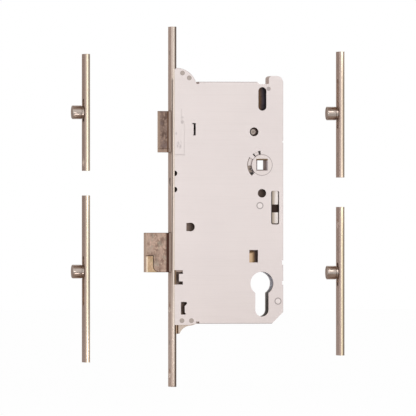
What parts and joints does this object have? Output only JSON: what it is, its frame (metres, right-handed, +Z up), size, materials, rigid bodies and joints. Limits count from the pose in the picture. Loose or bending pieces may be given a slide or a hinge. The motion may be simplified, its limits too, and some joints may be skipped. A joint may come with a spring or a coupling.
{
  "type": "multipoint door lock",
  "caption": "Multipoint door lock with a gearbox case, a bevelled latch, a deadbolt and roller bolts on separate faceplate stretches set side by side as in a catalogue break view.",
  "frame": {"origin": "axis of the spindle hole, halfway through the case", "axes": "+X from the faceplate's front towards the case's rear, +Y through the case away from the cover, +Z up along the faceplate"},
  "size_m": [0.2097, 0.016, 0.2735],
  "materials": {
    "faceplate_steel": "nickel-plated steel, brushed along its length",
    "case_steel": "zinc-plated sheet steel",
    "bracket_steel": "yellow zinc-plated steel",
    "rivet_steel": "plain steel",
    "hub_steel": "sintered steel",
    "spring_steel": "spring steel, oiled",
    "bolt_steel": "nickel-plated, satin",
    "insert_steel": "hardened steel, satin",
    "slide_steel": "zinc-plated steel",
    "link_steel": "phosphated steel",
    "tumbler_brass": "plain brass",
    "rod_steel": "dark zinc-plated steel",
    "roller_steel": "nickel-plated steel, turned"
  },
  "bodies": {
    "case": {"faceplate_centre": "faceplate_steel", "faceplate_upper_end": "faceplate_steel", "faceplate_upper_mid": "faceplate_steel", "faceplate_lower_mid": "faceplate_steel", "faceplate_lower_end": "faceplate_steel", "case_cover": "case_steel", "case_tray": "case_steel", "top_bracket": "case_steel", "bottom_bracket": "bracket_steel", "wing_rivets": "rivet_steel", "case_pillars": "case_steel", "rod_guides": "rivet_steel", "hub_spring": "spring_steel", "latch_guide": "link_steel", "latch_spring": "spring_steel", "bolt_guide_pin": "rivet_steel", "tumbler_pivot": "rivet_steel", "tumbler_spring": "spring_steel"},
    "drive_hub": {"drive_hub": "hub_steel"},
    "latch_hub": {"latch_hub": "hub_steel"},
    "latch": {"latch_bolt": "bolt_steel", "latch_tail": "slide_steel", "latch_tail_pin": "slide_steel"},
    "deadbolt": {"deadbolt": "bolt_steel", "deadbolt_insert": "insert_steel", "bolt_tail": "slide_steel", "bolt_tail_rivets": "rivet_steel"},
    "tumbler": {"tumbler": "tumbler_brass"},
    "upper_drive": {"upper_rack": "slide_steel", "upper_link": "link_steel", "upper_link_rivets": "rivet_steel", "upper_rod": "rod_steel", "upper_end_rod": "rod_steel", "upper_mid_rod": "rod_steel", "upper_end_stud": "roller_steel", "upper_mid_stud": "roller_steel"},
    "lower_drive": {"lower_rack": "slide_steel", "lower_link": "link_steel", "lower_link_rivets": "rivet_steel", "lower_rod": "rod_steel", "lower_mid_rod": "rod_steel", "lower_end_rod": "rod_steel", "lower_mid_stud": "roller_steel", "lower_end_stud": "roller_steel"},
    "upper_end_roller": {"upper_end_roller": "roller_steel"},
    "upper_mid_roller": {"upper_mid_roller": "roller_steel"},
    "lower_mid_roller": {"lower_mid_roller": "roller_steel"},
    "lower_end_roller": {"lower_end_roller": "roller_steel"}
  },
  "joints": [
    {"name": "drive_hub_turn", "type": "hinge", "parent": "case", "child": "drive_hub", "pos_m": [0, 0, 0], "axis": [0, 1, 0], "range_deg": [-50, 32]},
    {"name": "upper_slide", "type": "slide", "parent": "case", "child": "upper_drive", "axis": [0, 0, 1], "range_m": [-0.00446, 0.00698]},
    {"name": "lower_slide", "type": "slide", "parent": "case", "child": "lower_drive", "axis": [0, 0, 1], "range_m": [-0.007, 0.0045]},
    {"name": "latch_hub_turn", "type": "hinge", "parent": "case", "child": "latch_hub", "pos_m": [0, 0, 0], "axis": [0, 1, 0], "range_deg": [0, 32], "stiffness_Nm_per_rad": 0.05, "springref_deg": -11.46, "deforming": ["hub_spring"]},
    {"name": "latch_slide", "type": "slide", "parent": "case", "child": "latch", "axis": [1, 0, 0], "range_m": [0, 0.0101], "stiffness_N_per_m": 400, "springref_m": -0.004, "deforming": ["latch_spring"]},
    {"name": "deadbolt_slide", "type": "slide", "parent": "case", "child": "deadbolt", "axis": [1, 0, 0], "range_m": [0, 0.019]},
    {"name": "tumbler_turn", "type": "hinge", "parent": "case", "child": "tumbler", "pos_m": [-0.01, -0.00375, -0.05], "axis": [0, 1, 0], "range_deg": [0, 8], "stiffness_Nm_per_rad": 0.05, "springref_deg": -17.19, "deforming": ["tumbler_spring"]},
    {"name": "upper_end_roller_spin", "type": "hinge", "parent": "upper_drive", "child": "upper_end_roller", "pos_m": [-0.142, 0, 0.0399], "axis": [1, 0, 0], "continuous": true},
    {"name": "upper_mid_roller_spin", "type": "hinge", "parent": "upper_drive", "child": "upper_mid_roller", "pos_m": [-0.142, 0, -0.0809], "axis": [1, 0, 0], "continuous": true},
    {"name": "lower_mid_roller_spin", "type": "hinge", "parent": "lower_drive", "child": "lower_mid_roller", "pos_m": [0.0545, 0, 0.0393], "axis": [1, 0, 0], "continuous": true},
    {"name": "lower_end_roller_spin", "type": "hinge", "parent": "lower_drive", "child": "lower_end_roller", "pos_m": [0.0545, 0, -0.0819], "axis": [1, 0, 0], "continuous": true}
  ],
  "couplings": [
    {"joint": "drive_hub_turn", "follows": "upper_slide", "rad_per_m": -125},
    {"joint": "lower_slide", "follows": "upper_slide", "ratio": -1},
    {"joint": "latch_hub_turn", "follows": "latch_slide", "rad_per_m": 55.29}
  ]
}
